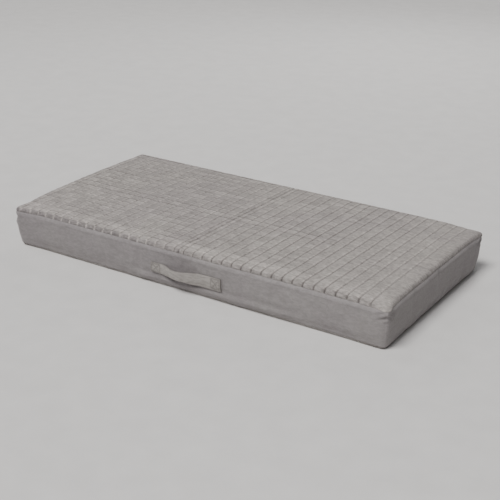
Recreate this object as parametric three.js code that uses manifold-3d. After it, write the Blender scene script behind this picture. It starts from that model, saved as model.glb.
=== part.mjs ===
// Two-seat booster seat cushion: a firm foam slab in a removable zipped cover with a quilted top,
// plain side panels, a carrying strap at the front and a coil zip along the rear.
//
// Units are millimetres. X runs along the length, +Y points to the rear (the zip), +Z is up.
// The origin is on the resting plane, under the middle of the cushion.
// The cover is made of flat-cut fabric panels, each a closed solid of its real thickness. Sewn
// panels meet with the clearance `gap`.

import * as THREE from "three";
import { mergeVertices } from "three/addons/utils/BufferGeometryUtils.js";
import Module from "manifold-3d";

const wasm = await Module();
wasm.setup();

// ---------------------------------------------------------------- driving dimensions

const gap = 0.3; // clearance between pieces that touch or are sewn together
const overcut = 1; // how far a cutting solid runs past what it cuts

const cushion = {
  length: 1000,
  depth: 490,
  height: 102,
  cornerRadius: 20, // in plan, at the outside of the side panels
};

const fabric = { thickness: 1.2 }; // side panels, base and strap patches

const quilt = {
  edgeRadius: 11, // of the quilted top's roll over the foam's edge
  faceThickness: 1.0,
  waddingThickness: 4.0,
  backingThickness: 0.6,
};

const foam = {
  lowerEdgeRadius: 8,
  zipMargin: 1.0, // between the foam and the back of the zip's slider
};

const zip = {
  length: 900, // of the coils
  centreHeight: 50,
  slotHeight: 9, // between the folded edges of the two rear panels
  tapeWidth: 13,
  tapeThickness: 0.8,
  coilWidth: 2.9, // of one side's coil, along Z
  coilThickness: 2.2, // along Y
  coilSplit: 1.5, // between the two coils, where the slider's post runs
  endTabLength: 22,
  stopLength: 4,
};

const slider = {
  length: 11,
  width: 9.6, // over the coils, along Z
  noseWidth: 6.9, // at the end that the closed coils run out of
  cornerRadius: 2.4,
  plateThickness: 1.1,
  postThickness: 0.8,
  postLength: 3.4,
  postForward: 2.2, // from the slider's middle towards its wide end
  clearance: 0.4, // between the plates and what runs through
  restInset: 9, // from the end stops to the slider's middle when the zip is closed
  bailRadius: 2.8, // of the arch's middle line
  bailWidth: 2.4,
  bailBar: 1.0,
};

const pull = {
  length: 30,
  width: 6.4,
  thickness: 1.2,
  cornerRadius: 1.6,
  eyeBar: 1.3, // between the eye and the pull's end
  eyeClearance: 0.5, // between the eye and the bail, all round
  gripLength: 8.4, // of the long hole for a fingertip's grip
  gripWidth: 3,
  gripInset: 8.4, // from the pull's tip to that hole's middle
};

const strap = {
  freeLength: 134, // between the two sewn ends
  endLength: 28,
  width: 32,
  thickness: 2.6,
  centreHeight: 44,
  rightOfCentre: 7, // of the cushion's front
  bulge: 12, // how far the free span's middle stands away from its ends
  droop: 2.5, // how far the free span's middle hangs below its ends
  cornerRadius: 2,
  stitchInset: 3,
  stitchWidth: 0.9,
  stitchThickness: 0.5,
  stitchDrawIn: 1.4, // of the openings between the lines of stitching
  patchMargin: 6, // of the patch inside the front panel, around each sewn end
};

const label = {
  width: 28,
  zipClearance: 2.2, // from the label's lower edge to the zip's slot
  thickness: 0.5,
  fromLeftEnd: 90, // to the label's middle
};

// ---------------------------------------------------------------- places worked out from them

const halfLength = cushion.length / 2;
const halfDepth = cushion.depth / 2;

const baseTop = fabric.thickness;
const panelBottom = baseTop + gap;
const seamHeight = cushion.height - quilt.edgeRadius; // where the quilted top is sewn to the sides
const panelTop = seamHeight - gap;

// Depth below the cover's top of each layer's upper face.
const waddingDrop = quilt.faceThickness + gap;
const backingDrop = waddingDrop + quilt.waddingThickness + gap;
const foamDrop = backingDrop + quilt.backingThickness + gap;

const panelInner = fabric.thickness; // from the outline to the side panels' inside face

const tapeOuterY = halfDepth - panelInner - gap;
const coilInnerY = tapeOuterY + gap;
const coilOuterY = coilInnerY + zip.coilThickness;
const coilEdge = zip.coilSplit / 2 + zip.coilWidth;

const frontPlateInner = coilOuterY + slider.clearance;
const frontPlateOuter = frontPlateInner + slider.plateThickness;
const backPlateOuter = tapeOuterY - zip.tapeThickness - slider.clearance;
const backPlateInner = backPlateOuter - slider.plateThickness;

// ---------------------------------------------------------------- solids

// A three.js geometry as a manifold-3d solid, for cutting and joining.
function solid(geometry) {
  const bare = geometry.index ? geometry.toNonIndexed() : geometry.clone();
  bare.deleteAttribute("normal");
  bare.deleteAttribute("uv");
  const merged = mergeVertices(bare, 1e-4);
  return new wasm.Manifold(
    new wasm.Mesh({
      numProp: 3,
      vertProperties: merged.attributes.position.array,
      triVerts: new Uint32Array(merged.index.array),
    }),
  );
}

// A manifold-3d solid as a three.js geometry.
function geometryOf(body) {
  const mesh = body.getMesh();
  return new THREE.BufferGeometry()
    .setAttribute("position", new THREE.BufferAttribute(mesh.vertProperties, 3))
    .setIndex(new THREE.BufferAttribute(mesh.triVerts, 1));
}

const cornerSteps = 5; // facets of a plan corner
const rollSteps = 4; // facets of a rolled edge
const sharpest = 0.5; // radius left at a plan corner where a rolled edge has used it up

// The points of a rectangle with round corners, anticlockwise, centred on the origin.
function roundedRectangle(length, depth, radius) {
  const points = [];
  for (let corner = 0; corner < 4; corner++) {
    const cx = (corner === 0 || corner === 3 ? 1 : -1) * (length / 2 - radius);
    const cy = (corner < 2 ? 1 : -1) * (depth / 2 - radius);
    for (let i = 0; i <= cornerSteps; i++) {
      const angle = (Math.PI / 2) * (corner + i / cornerSteps);
      points.push([cx + radius * Math.cos(angle), cy + radius * Math.sin(angle)]);
    }
  }
  return points;
}

// A slab with a round-cornered plan, whose upper and lower edges may be rolled over.
function slab({ length, depth, radius, bottom, top, topRoll = 0, bottomRoll = 0, centreY = 0 }) {
  const levels = []; // [inset from the outline, height], from the bottom up
  const lowerSteps = bottomRoll > 0 ? rollSteps : 0;
  for (let i = 0; i <= lowerSteps; i++) {
    const angle = (Math.PI / 2) * (lowerSteps ? i / lowerSteps : 1);
    levels.push([bottomRoll * (1 - Math.sin(angle)), bottom + bottomRoll * (1 - Math.cos(angle))]);
  }
  const upperSteps = topRoll > 0 ? rollSteps : 0;
  for (let i = 0; i <= upperSteps; i++) {
    const angle = (Math.PI / 2) * (upperSteps ? i / upperSteps : 0);
    levels.push([topRoll * (1 - Math.cos(angle)), top - topRoll * (1 - Math.sin(angle))]);
  }

  const positions = [];
  for (const [inset, z] of levels) {
    const cornerRadius = Math.max(radius - inset, sharpest);
    const ring = roundedRectangle(length - 2 * inset, depth - 2 * inset, cornerRadius);
    for (const [x, y] of ring) positions.push(x, y + centreY, z);
  }
  const count = positions.length / 3 / levels.length;
  const triangles = [];
  for (let level = 0; level + 1 < levels.length; level++)
    for (let i = 0; i < count; i++) {
      const a = level * count + i;
      const b = level * count + ((i + 1) % count);
      triangles.push(a, b, b + count, a, b + count, a + count);
    }
  const lowerCentre = positions.length / 3;
  positions.push(0, centreY, bottom, 0, centreY, top);
  const upperRing = (levels.length - 1) * count;
  for (let i = 0; i < count; i++) {
    const next = (i + 1) % count;
    triangles.push(lowerCentre, next, i);
    triangles.push(lowerCentre + 1, upperRing + i, upperRing + next);
  }
  return new THREE.BufferGeometry()
    .setAttribute("position", new THREE.Float32BufferAttribute(positions, 3))
    .setIndex(triangles);
}

// A box given by its lowest and highest corners.
function block([x0, y0, z0], [x1, y1, z1]) {
  const box = new THREE.BoxGeometry(x1 - x0, y1 - y0, z1 - z0);
  return box.translate((x0 + x1) / 2, (y0 + y1) / 2, (z0 + z1) / 2);
}

// An outline in the XZ plane, given as a shape of (x, z), made thick along +Y from y.
function uprightPlate(shape, y, thickness) {
  const plate = new THREE.ExtrudeGeometry(shape, {
    depth: thickness,
    bevelEnabled: false,
    curveSegments: 6,
  });
  return plate.rotateX(Math.PI / 2).translate(0, y + thickness, 0);
}

function roundedShape(x0, z0, x1, z1, radius) {
  const shape = new THREE.Shape();
  shape.moveTo(x0 + radius, z0);
  shape.lineTo(x1 - radius, z0);
  shape.absarc(x1 - radius, z0 + radius, radius, -Math.PI / 2, 0);
  shape.lineTo(x1, z1 - radius);
  shape.absarc(x1 - radius, z1 - radius, radius, 0, Math.PI / 2);
  shape.lineTo(x0 + radius, z1);
  shape.absarc(x0 + radius, z1 - radius, radius, Math.PI / 2, Math.PI);
  shape.lineTo(x0, z0 + radius);
  shape.absarc(x0 + radius, z0 + radius, radius, Math.PI, 1.5 * Math.PI);
  return shape;
}

// ---------------------------------------------------------------- materials

const finish = (color, roughness, metalness = 0) =>
  new THREE.MeshStandardMaterial({ color, roughness, metalness });

const suede = finish(0x9b9793, 0.95);
const lining = finish(0xd8d6d0, 0.95);
const foamFinish = finish(0xe6dfc8, 0.9);
const thread = finish(0xa8a5a0, 0.6);
const nylon = finish(0x6f6c6a, 0.45);
const tapeFinish = finish(0x77736f, 0.85);
const metal = finish(0x8b8d90, 0.35, 1);
const labelFinish = finish(0xf2f1ec, 0.6);

const group = new THREE.Group();

function add(name, geometry, material, parent = group) {
  const mesh = new THREE.Mesh(geometry, material);
  mesh.name = name;
  parent.add(mesh);
  return mesh;
}

// ---------------------------------------------------------------- foam

const foamFrontY = -halfDepth + panelInner + fabric.thickness + 2 * gap; // behind the patches
const foamRearY = backPlateInner - foam.zipMargin;
const foamInset = panelInner + gap;

// The foam's upper edge is just round enough to clear the quilted layers where they meet the seam:
// the round passes `rise` below the foam's top at `run` in from the foam's side.
function foamEdgeRadius() {
  const run = foamDrop - foamInset + gap;
  const rise = quilt.edgeRadius - foamDrop;
  return (run * run + rise * rise) / (run + rise - Math.sqrt(2 * run * rise));
}

add(
  "foam_core",
  slab({
    length: cushion.length - 2 * foamInset,
    depth: foamRearY - foamFrontY,
    radius: cushion.cornerRadius - foamInset,
    bottom: panelBottom,
    top: cushion.height - foamDrop,
    topRoll: foamEdgeRadius(),
    bottomRoll: foam.lowerEdgeRadius,
    centreY: (foamRearY + foamFrontY) / 2,
  }),
  foamFinish,
);

// ---------------------------------------------------------------- quilted top

// The cover's outer form between two heights, taken in all round by `inset`.
function coverForm(inset, bottom, top, roll) {
  return slab({
    length: cushion.length - 2 * inset,
    depth: cushion.depth - 2 * inset,
    radius: cushion.cornerRadius - inset,
    bottom,
    top,
    topRoll: roll,
  });
}

// A lid-shaped layer: its upper face is `drop` below the cover's top, and it rolls down to the seam.
function quiltLayer(drop, thickness) {
  const outer = coverForm(drop, seamHeight, cushion.height - drop, quilt.edgeRadius - drop);
  const inner = coverForm(
    drop + thickness,
    seamHeight - overcut,
    cushion.height - drop - thickness,
    quilt.edgeRadius - drop - thickness,
  );
  return geometryOf(solid(outer).subtract(solid(inner)));
}

add("quilt_face_fabric", quiltLayer(0, quilt.faceThickness), suede);
add("quilt_wadding", quiltLayer(waddingDrop, quilt.waddingThickness), lining);
add("quilt_backing_cloth", quiltLayer(backingDrop, quilt.backingThickness), lining);

// ---------------------------------------------------------------- side panels and base

// The ring of the side panels, as a solid between two heights.
function panelRing(bottom, top) {
  const outer = coverForm(0, bottom, top, 0);
  const inner = coverForm(panelInner, bottom - overcut, top + overcut, 0);
  return solid(outer).subtract(solid(inner));
}

// A side panel reaches round to the middle of each corner's curve, where it is sewn to the next.
// It is what the ring has on one side of the two planes that cut the corners at 45 degrees.
function wedge(towards) {
  const reach = 2 * cushion.length;
  const fromCorner = halfLength - halfDepth; // between the two points where the planes meet
  const halfCut = (gap / 2) * Math.SQRT2;
  const outline = new THREE.Shape();
  if (towards === "front" || towards === "rear") {
    outline.moveTo(-fromCorner, -halfCut);
    outline.lineTo(-fromCorner - reach, -halfCut - reach);
    outline.lineTo(fromCorner + reach, -halfCut - reach);
    outline.lineTo(fromCorner, -halfCut);
  } else {
    outline.moveTo(fromCorner + halfCut, 0);
    outline.lineTo(fromCorner + halfCut + reach, -reach);
    outline.lineTo(fromCorner + halfCut + reach, reach);
  }
  const prism = new THREE.ExtrudeGeometry(outline, { depth: 2 * cushion.height, bevelEnabled: false });
  if (towards === "rear" || towards === "left") prism.rotateZ(Math.PI);
  return solid(prism.translate(0, 0, -cushion.height / 2));
}

function sidePanel(towards, bottom, top) {
  return geometryOf(panelRing(bottom, top).intersect(wedge(towards)));
}

for (const side of ["front", "left", "right"])
  add(`${side}_panel`, sidePanel(side, panelBottom, panelTop), suede);

const slotBottom = zip.centreHeight - zip.slotHeight / 2;
const slotTop = zip.centreHeight + zip.slotHeight / 2;
add("rear_lower_panel", sidePanel("rear", panelBottom, slotBottom), suede);
add("rear_upper_panel", sidePanel("rear", slotTop, panelTop), suede);

add("base_panel", coverForm(0, 0, baseTop, 0), suede);

// ---------------------------------------------------------------- zip

const zipGroup = new THREE.Group();
zipGroup.position.set(0, 0, zip.centreHeight);
group.add(zipGroup);

// The upper half is made at side = 1 and the lower at side = -1, both about the zip's centre line.
for (const [name, side] of [["upper", 1], ["lower", -1]]) {
  const span = (from, to) => (side > 0 ? [from, to] : [-to, -from]);
  const halfZip = zip.length / 2;
  const tapeInner = zip.coilSplit / 2;
  const [tapeLow, tapeHigh] = span(tapeInner, tapeInner + zip.tapeWidth);
  add(
    `zip_${name}_tape`,
    block(
      [-halfZip - zip.endTabLength, tapeOuterY - zip.tapeThickness, tapeLow],
      [halfZip + zip.endTabLength, tapeOuterY, tapeHigh],
    ),
    tapeFinish,
    zipGroup,
  );
  const [coilLow, coilHigh] = span(zip.coilSplit / 2, coilEdge);
  add(
    `zip_${name}_coil`,
    block([-halfZip, coilInnerY, coilLow], [halfZip - zip.stopLength - gap, coilOuterY, coilHigh]),
    nylon,
    zipGroup,
  );
  add(
    `zip_${name}_top_stop`,
    block([halfZip - zip.stopLength, coilInnerY, coilLow], [halfZip, coilOuterY, coilHigh]),
    metal,
    zipGroup,
  );
}

add(
  "zip_bottom_stop",
  block(
    [-zip.length / 2 - gap - zip.stopLength, coilInnerY, -coilEdge],
    [-zip.length / 2 - gap, coilOuterY, coilEdge],
  ),
  metal,
  zipGroup,
);

// A fabric tab closes the slot between the rear panels from each end of the zip to the corner.
const tabStart = zip.length / 2 + 2 * gap + zip.stopLength;
const tabRing = panelRing(slotBottom + gap, slotTop - gap).intersect(wedge("rear"));
for (const [name, side] of [["left", -1], ["right", 1]]) {
  const [x0, x1] = [side * tabStart, side * halfLength].sort((a, b) => a - b);
  const reach = solid(block([x0, 0, 0], [x1, halfDepth + overcut, cushion.height]));
  add(`zip_${name}_end_tab`, geometryOf(tabRing.intersect(reach)), suede);
}

// ---------------------------------------------------------------- zip slider and pull

const sliderRestX = zip.length / 2 - zip.stopLength - slider.restInset;
const sliderGroup = new THREE.Group();
sliderGroup.position.set(sliderRestX, 0, zip.centreHeight);
group.add(sliderGroup);

// Both plates narrow towards the nose, at -X. A post between the coils joins them.
function sliderPlate(y) {
  const halfLong = slider.length / 2;
  const halfWide = slider.width / 2;
  const halfNose = slider.noseWidth / 2;
  const round = slider.cornerRadius;
  const shape = new THREE.Shape();
  shape.moveTo(-halfLong, -halfNose);
  shape.lineTo(0, -halfWide);
  shape.lineTo(halfLong - round, -halfWide);
  shape.absarc(halfLong - round, -halfWide + round, round, -Math.PI / 2, 0);
  shape.absarc(halfLong - round, halfWide - round, round, 0, Math.PI / 2);
  shape.lineTo(0, halfWide);
  shape.lineTo(-halfLong, halfNose);
  return uprightPlate(shape, y, slider.plateThickness);
}

const plateOverlap = 0.2; // of the post into each plate
const sliderPost = block(
  [
    slider.postForward - slider.postLength / 2,
    backPlateOuter - plateOverlap,
    -slider.postThickness / 2,
  ],
  [
    slider.postForward + slider.postLength / 2,
    frontPlateInner + plateOverlap,
    slider.postThickness / 2,
  ],
);
add(
  "zip_slider_body",
  geometryOf(
    solid(sliderPlate(frontPlateInner))
      .add(solid(sliderPlate(backPlateInner)))
      .add(solid(sliderPost)),
  ),
  metal,
  sliderGroup,
);

// The bail is an arch on the front plate. The pull's eye slides along it, so the pull turns about
// the arch's centre.
const bailCentreY = frontPlateOuter + gap + pull.thickness / 2;

function bail() {
  const outerRadius = slider.bailRadius + slider.bailBar / 2;
  const innerRadius = slider.bailRadius - slider.bailBar / 2;
  const legLength = bailCentreY - frontPlateOuter - gap;
  const shape = new THREE.Shape();
  shape.moveTo(outerRadius, -legLength);
  shape.lineTo(outerRadius, 0);
  shape.absarc(0, 0, outerRadius, 0, Math.PI);
  shape.lineTo(-outerRadius, -legLength);
  shape.lineTo(-innerRadius, -legLength);
  shape.lineTo(-innerRadius, 0);
  shape.absarc(0, 0, innerRadius, Math.PI, 0, true);
  shape.lineTo(innerRadius, -legLength);
  const arch = new THREE.ExtrudeGeometry(shape, {
    depth: slider.bailWidth,
    bevelEnabled: false,
    curveSegments: 12,
  });
  return arch.translate(0, bailCentreY, -slider.bailWidth / 2);
}
add("zip_slider_bail", bail(), metal, sliderGroup);

// The pull lies flat over the slider and points to the closed end.
const eyeHalfX = slider.bailBar / 2 + pull.eyeClearance;
const eyeHalfZ = slider.bailWidth / 2 + pull.eyeClearance;

function pullShape() {
  const halfWide = pull.width / 2;
  const start = slider.bailRadius - eyeHalfX - pull.eyeBar;
  const tip = start + pull.length;
  const shape = roundedShape(start, -halfWide, tip, halfWide, pull.cornerRadius);
  const eye = new THREE.Path();
  eye.moveTo(slider.bailRadius - eyeHalfX, -eyeHalfZ);
  eye.lineTo(slider.bailRadius - eyeHalfX, eyeHalfZ);
  eye.lineTo(slider.bailRadius + eyeHalfX, eyeHalfZ);
  eye.lineTo(slider.bailRadius + eyeHalfX, -eyeHalfZ);
  shape.holes.push(eye);
  const grip = new THREE.Path();
  grip.absellipse(tip - pull.gripInset, 0, pull.gripLength / 2, pull.gripWidth / 2, 0, 2 * Math.PI, true);
  shape.holes.push(grip);
  return shape;
}
add(
  "zip_pull_tab",
  uprightPlate(pullShape(), bailCentreY - pull.thickness / 2, pull.thickness),
  metal,
  sliderGroup,
);

// ---------------------------------------------------------------- carrying strap

const strapInnerY = -halfDepth - gap;
const strapLow = strap.centreHeight - strap.width / 2;
const strapHigh = strap.centreHeight + strap.width / 2;
const freeHalf = strap.freeLength / 2;

// The free span bows out and hangs a little in its middle: a strip along X, swept along a curve.
function freeSpan() {
  const steps = 20;
  const reach = freeHalf - gap;
  const rings = [];
  for (let i = 0; i <= steps; i++) {
    const t = -1 + (2 * i) / steps;
    const swell = Math.pow(Math.cos((Math.PI / 2) * t), 2);
    const inner = strapInnerY - strap.bulge * swell;
    const low = strapLow - strap.droop * swell;
    const high = strapHigh - strap.droop * swell;
    const x = strap.rightOfCentre + t * reach;
    rings.push([x, inner, low], [x, inner, high], [x, inner - strap.thickness, high]);
    rings.push([x, inner - strap.thickness, low]);
  }
  const triangles = [];
  for (let i = 0; i < steps; i++)
    for (let k = 0; k < 4; k++) {
      const a = 4 * i + k;
      const b = 4 * i + ((k + 1) % 4);
      triangles.push(a, b, b + 4, a, b + 4, a + 4);
    }
  const last = 4 * steps;
  triangles.push(0, 2, 1, 0, 3, 2);
  triangles.push(last, last + 1, last + 2, last, last + 2, last + 3);
  return new THREE.BufferGeometry()
    .setAttribute("position", new THREE.Float32BufferAttribute(rings.flat(), 3))
    .setIndex(triangles);
}
add("handle_free_span", freeSpan(), suede);

// The box-and-cross of thread that holds one end: a rectangle with both its diagonals.
function boxStitch(x0, x1, z0, z1) {
  const width = strap.stitchWidth;
  const outline = roundedShape(x0, z0, x1, z1, width);
  const middle = new THREE.Vector2((x0 + x1) / 2, (z0 + z1) / 2);
  const corners = [
    new THREE.Vector2(x0 + width, z0 + width),
    new THREE.Vector2(x1 - width, z0 + width),
    new THREE.Vector2(x1 - width, z1 - width),
    new THREE.Vector2(x0 + width, z1 - width),
  ];
  corners.forEach((corner, i) => {
    // An opening is the triangle between one side and the two diagonals, drawn in by their width.
    const triangle = [corner, middle, corners[(i + 1) % corners.length]];
    const centre = triangle.reduce((sum, p) => sum.add(p), new THREE.Vector2()).divideScalar(3);
    const drawnIn = triangle.map((p) => {
      const towardsCentre = centre.clone().sub(p).setLength(strap.stitchDrawIn);
      return p.clone().add(towardsCentre);
    });
    outline.holes.push(new THREE.Path(drawnIn));
  });
  const outerY = strapInnerY - strap.thickness - gap - strap.stitchThickness;
  return uprightPlate(outline, outerY, strap.stitchThickness);
}

for (const [name, side] of [["left", -1], ["right", 1]]) {
  const edges = [freeHalf, freeHalf + strap.endLength].map((x) => strap.rightOfCentre + side * x);
  const [x0, x1] = edges.sort((a, b) => a - b);
  add(
    `handle_${name}_sewn_end`,
    uprightPlate(
      roundedShape(x0, strapLow, x1, strapHigh, strap.cornerRadius),
      strapInnerY - strap.thickness,
      strap.thickness,
    ),
    suede,
  );
  const inset = strap.stitchInset;
  add(
    `handle_${name}_box_stitch`,
    boxStitch(x0 + inset, x1 - inset, strapLow + inset, strapHigh - inset),
    thread,
  );
  const margin = strap.patchMargin;
  add(
    `handle_${name}_inner_patch`,
    uprightPlate(
      roundedShape(x0 - margin, strapLow - margin, x1 + margin, strapHigh + margin, strap.cornerRadius),
      -halfDepth + panelInner + gap,
      fabric.thickness,
    ),
    lining,
  );
}

// ---------------------------------------------------------------- care label

// The label is caught in the rear seam under the quilted top and hangs down the upper rear panel.
const labelX = -halfLength + label.fromLeftEnd;
const labelLength = panelTop - slotTop - label.zipClearance;
add(
  "care_label",
  block(
    [labelX - label.width / 2, halfDepth + gap, panelTop - labelLength],
    [labelX + label.width / 2, halfDepth + gap + label.thickness, panelTop],
  ),
  labelFinish,
);

export default group;
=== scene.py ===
import itertools
import math
from collections import Counter
from types import SimpleNamespace

import bpy
import numpy as np
from mathutils import Matrix, Vector
from mathutils.bvhtree import BVHTree
from mathutils.kdtree import KDTree


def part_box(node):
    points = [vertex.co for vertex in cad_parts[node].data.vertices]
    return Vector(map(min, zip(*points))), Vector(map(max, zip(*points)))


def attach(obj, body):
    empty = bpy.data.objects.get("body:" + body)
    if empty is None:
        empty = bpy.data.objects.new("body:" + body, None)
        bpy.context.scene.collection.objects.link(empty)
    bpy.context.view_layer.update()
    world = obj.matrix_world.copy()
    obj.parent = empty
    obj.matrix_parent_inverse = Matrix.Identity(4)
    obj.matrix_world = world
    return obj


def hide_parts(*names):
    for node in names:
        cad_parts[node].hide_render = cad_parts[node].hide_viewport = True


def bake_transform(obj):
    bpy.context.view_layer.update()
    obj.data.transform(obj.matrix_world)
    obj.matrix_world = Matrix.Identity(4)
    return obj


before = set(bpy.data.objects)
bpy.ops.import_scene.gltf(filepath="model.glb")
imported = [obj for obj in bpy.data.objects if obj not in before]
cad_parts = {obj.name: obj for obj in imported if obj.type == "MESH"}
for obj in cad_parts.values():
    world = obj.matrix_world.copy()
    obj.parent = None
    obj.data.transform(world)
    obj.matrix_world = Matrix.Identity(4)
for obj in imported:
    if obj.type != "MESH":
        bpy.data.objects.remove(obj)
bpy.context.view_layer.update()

# A two-seat booster cushion: a firm foam slab in a suede-like cover with a quilted top, plain side
# panels, a strap on the front and a zip along the rear. Lengths here are millimetres in the row's
# frame, and make_mesh() turns them into metres.

MM = 0.001


def box_mm(node):
    low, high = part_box(node)
    return np.array(low) / MM, np.array(high) / MM


HALF_LENGTH, HALF_DEPTH, TOP = box_mm("quilt_face_fabric")[1]
STRAP_LOW, STRAP_HIGH = box_mm("handle_free_span")
STRAP_CENTRE = (STRAP_HIGH[0] + STRAP_LOW[0]) / 2
SEWN_LOW, SEWN_HIGH = box_mm("handle_right_sewn_end")
SLOT_BOTTOM = box_mm("rear_lower_panel")[1][2]
SLOT_TOP = box_mm("rear_upper_panel")[0][2]

CORNER = 12.0  # plan radius of the cover's corners
SEAM = 93.0  # height of the seam between the quilted top and the side panels
BASE_SEAM = 4.0  # height of the seam between the base and the side panels
ALLOWANCE_EDGE = 80.5  # lower edge of the seam allowance, which shows as a ridge under the seam
ROLL_RUN = 14.0  # the quilted top's rolled edge, inwards from the outline
BASE_ROLL = 9.0  # radius of the lower edge

# The quilting: lines from front to back, which lean a little, and fainter lines across them.
PITCH_X = 25.6
FIRST_X = -483.5
COUNT_X = 38
LEAN = 0.028
PITCH_Y = 23.9
FIRST_Y = -224.4
COUNT_Y = 20
PINCHED_AFTER = 18  # an extra line runs inside the cell that follows this many whole cells
LONG_DEPTH, CROSS_DEPTH, STRONG_DEPTH, PINCH_DEPTH = 1.15, 0.85, 1.2, 1.5

QUILT_THICK = 4.6  # face fabric, wadding and backing cloth
CLOTH_THICK = 1.1
SLACK_CAP = 3.5  # the most that the simulated cloth moves a point
SLACK_REACH = 9.0  # how far a simulated point's movement is felt

# Each kind of sewing: the length of a stitch, the gap to the next and the thread's radius.
QUILTING = (2.7, 0.9, 0.32)
TOPSTITCH = (2.7, 0.9, 0.36)
BOX_STITCH = (2.1, 0.7, 0.55)
EDGE_STITCH = (2.4, 0.8, 0.32)


# ---------- small helpers


def smoothstep(x, start, end):
    t = np.clip((x - start) / (end - start), 0, 1)
    return t * t * (3 - 2 * t)


def bell(x, middle, width):
    return np.exp(-(((x - middle) / width) ** 2))


def smooth_noise(points, size, seed):
    """Soft noise from -1 to 1 at each point, in lumps about size across."""
    count = 32
    lattice = np.random.default_rng(seed).uniform(-1, 1, (count, count, count))
    place = np.asarray(points, float) / size
    cell = np.floor(place).astype(int)
    t = place - cell
    t = t * t * (3 - 2 * t)
    value = np.zeros(len(place))
    for corner in itertools.product((0, 1), repeat=3):
        weight = np.prod(np.where(corner, t, 1 - t), axis=1)
        i, j, k = ((cell + corner) % count).T
        value += weight * lattice[i, j, k]
    return value


def make_mesh(name, points, faces, material):
    mesh = bpy.data.meshes.new(name)
    mesh.from_pydata((np.asarray(points) * MM).tolist(), [], faces)
    mesh.polygons.foreach_set("use_smooth", np.ones(len(mesh.polygons), bool))
    mesh.update()
    piece = bpy.data.objects.new(name, mesh)
    bpy.context.scene.collection.objects.link(piece)
    piece.data.materials.append(material)
    return piece


def vertices_of(piece):
    flat = np.empty(3 * len(piece.data.vertices))
    piece.data.vertices.foreach_get("co", flat)
    return flat.reshape(-1, 3) / MM


def sharpen(piece, keys):
    for edge in piece.data.edges:
        edge.use_edge_sharp = edge.key in keys


def sharpen_ends(piece):
    """Keeps the cut ends of a swept piece flat, so that they don't round off its shading."""
    ends = [face for face in piece.data.polygons if len(face.vertices) > 4]
    for face in ends:
        face.use_smooth = False
    sharpen(piece, {key for face in ends for key in face.edge_keys})


def sharpen_rim(piece):
    """Keeps the thickness at a sheet's edges from rounding off its shading there."""
    uses = Counter(key for face in piece.data.polygons for key in face.edge_keys)
    sharpen(piece, {key for key, count in uses.items() if count == 1})


def add_shade(piece, name, values):
    """Keeps a value from 0 to 1 at each point, for the piece's material to read."""
    attribute = piece.data.attributes.new(name, "FLOAT", "POINT")
    attribute.data.foreach_set("value", np.clip(values, 0, 1).astype(np.float32))


def thicken(piece, thickness):
    """Turns a sheet into a closed skin, with the new face on its inner side."""
    skin = piece.modifiers.new("Thickness", "SOLIDIFY")
    skin.thickness = thickness * MM
    skin.offset = -1
    skin.use_quality_normals = True


def grid_faces(rows, columns, start=0):
    return [
        (a, a + 1, a + columns + 1, a + columns)
        for j in range(rows - 1)
        for a in range(start + j * columns, start + j * columns + columns - 1)
    ]


def ring_faces(lower, upper):
    """The band between two closed rings of point numbers, facing out when they run anticlockwise."""
    lower, upper = lower.tolist(), upper.tolist()
    return list(zip(lower, lower[1:] + lower[:1], upper[1:] + upper[:1], upper))


def tube_faces(rings, count):
    """The faces of a tube of rings with count points each, closed at both ends."""
    faces = []
    for start in range(0, (rings - 1) * count, count):
        ring = start + np.arange(count)
        faces += ring_faces(ring, ring + count)
    faces.append(tuple(range(count))[::-1])
    faces.append(tuple(range((rings - 1) * count, rings * count)))
    return faces


def upright_strip(node, across, deep):
    """A CAD strip's box, with places along and up it and faces that look to the rear."""
    low, high = box_mm(node)
    x, z = np.meshgrid(np.linspace(low[0], high[0], across), np.linspace(low[2], high[2], deep))
    faces = [face[::-1] for face in grid_faces(deep, across)]
    return low, high, x.ravel(), z.ravel(), faces


def join_cover(piece, slot, *nodes, fill=None):
    """Fixes a piece to the cover's body, in place of the CAD nodes that it stands for."""
    if nodes:
        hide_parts(*nodes)
    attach(piece, "cover")


# ---------- the cover's form


def outward(x, y):
    """The unit direction away from the cushion in plan, nothing over its flat middle."""
    past = np.stack(
        [
            np.sign(x) * np.clip(np.abs(x) - (HALF_LENGTH - CORNER), 0, None),
            np.sign(y) * np.clip(np.abs(y) - (HALF_DEPTH - CORNER), 0, None),
        ],
        axis=1,
    )
    return past / np.maximum(np.linalg.norm(past, axis=1, keepdims=True), 1e-6)


# For each corner: its signs in X and Y, how far its top sinks, how far its lower point is rounded
# off, how far its upright edge stands out and how far its seam's tip does beyond that.
CORNERS = [
    (-1, -1, 3.0, 1.5, 7.5, 1.5),
    (1, -1, 2.5, 2.0, 4.0, 5.0),
    (1, 1, 6.0, 6.0, 2.5, 4.5),
    (-1, 1, 0.5, 5.0, 2.5, 2.0),
]


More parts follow.
